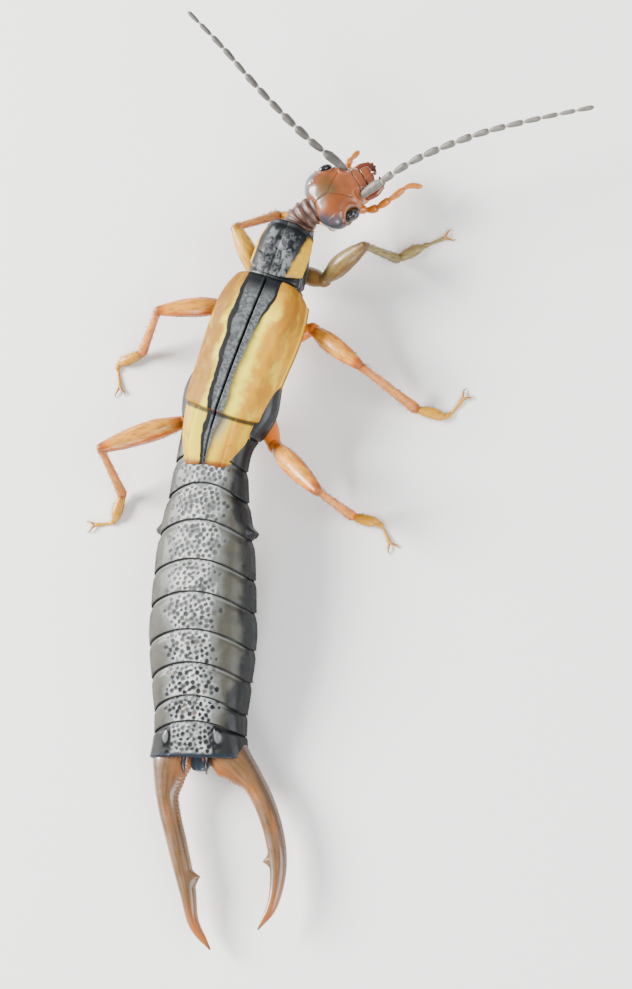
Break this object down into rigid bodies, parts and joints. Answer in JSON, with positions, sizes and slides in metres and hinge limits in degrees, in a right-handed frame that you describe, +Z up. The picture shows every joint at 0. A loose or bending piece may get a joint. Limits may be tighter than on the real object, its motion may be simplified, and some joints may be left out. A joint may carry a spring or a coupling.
{
  "type": "earwig",
  "caption": "Male earwig at life size, standing on its feet and the tip of its belly, with long bead feelers, short wing cases and curved tail forceps.",
  "frame": {"origin": "centre of the footprint of the bounding box, on the floor under the feet", "axes": "+Z up, +Y towards the head end along the longest extent, +X to the animal's right as its head points away"},
  "size_m": [0.0236, 0.038, 0.0043],
  "materials": {
    "head": "shiny orange-brown cuticle with darker cheeks",
    "eye": "near-black faceted eye with a soft shine",
    "mouth": "brown horny mouth parts",
    "palp": "orange-yellow translucent cuticle",
    "antenna": "matt grey beads with pale joints",
    "neck": "soft pinkish-brown folded skin",
    "pronotum": "black mottled grey disc with yellow side margins",
    "thorax": "near-black cuticle",
    "tegmen": "ochre wing case with a yellow stripe and a dark inner band",
    "wing": "yellow and ochre folded wing tip, dark along the seam",
    "abdomen": "dark grey pitted cuticle, paler along the back",
    "pygidium": "dark blue-grey cuticle",
    "forceps": "polished brown to orange-brown horn",
    "leg": "orange-yellow cuticle, olive towards the feet"
  },
  "bodies": {
    "root": {"head": "head", "eye_left": "eye", "eye_right": "eye", "labrum": "mouth", "mandible_left": "mouth", "mandible_right": "mouth", "labium": "mouth", "palp_left": "palp", "palp_right": "palp", "antenna_left_scape": "antenna", "antenna_left_flagellum": "antenna", "antenna_right_scape": "antenna", "antenna_right_flagellum": "antenna", "neck": "neck", "pronotum": "pronotum", "prothorax": "thorax", "mesothorax": "thorax", "metathorax": "thorax", "tegmen_left": "tegmen", "tegmen_right": "tegmen", "wing_left": "wing", "wing_right": "wing", "abdomen_1": "abdomen", "abdomen_2": "abdomen", "abdomen_3": "abdomen", "abdomen_4": "abdomen", "abdomen_5": "abdomen", "abdomen_6": "abdomen", "abdomen_7": "abdomen", "abdomen_8": "abdomen", "abdomen_9": "abdomen", "abdomen_10": "abdomen", "pygidium": "pygidium", "forceps_left": "forceps", "forceps_right": "forceps", "leg_front_left_coxa": "leg", "leg_front_left_femur": "leg", "leg_front_left_tibia": "leg", "leg_front_left_tarsus": "leg", "leg_front_right_coxa": "leg", "leg_front_right_femur": "leg", "leg_front_right_tibia": "leg", "leg_front_right_tarsus": "leg", "leg_middle_left_coxa": "leg", "leg_middle_left_femur": "leg", "leg_middle_left_tibia": "leg", "leg_middle_left_tarsus": "leg", "leg_middle_right_coxa": "leg", "leg_middle_right_femur": "leg", "leg_middle_right_tibia": "leg", "leg_middle_right_tarsus": "leg", "leg_hind_left_coxa": "leg", "leg_hind_left_femur": "leg", "leg_hind_left_tibia": "leg", "leg_hind_left_tarsus": "leg", "leg_hind_right_coxa": "leg", "leg_hind_right_femur": "leg", "leg_hind_right_tibia": "leg", "leg_hind_right_tarsus": "leg"}
  },
  "joints": []
}
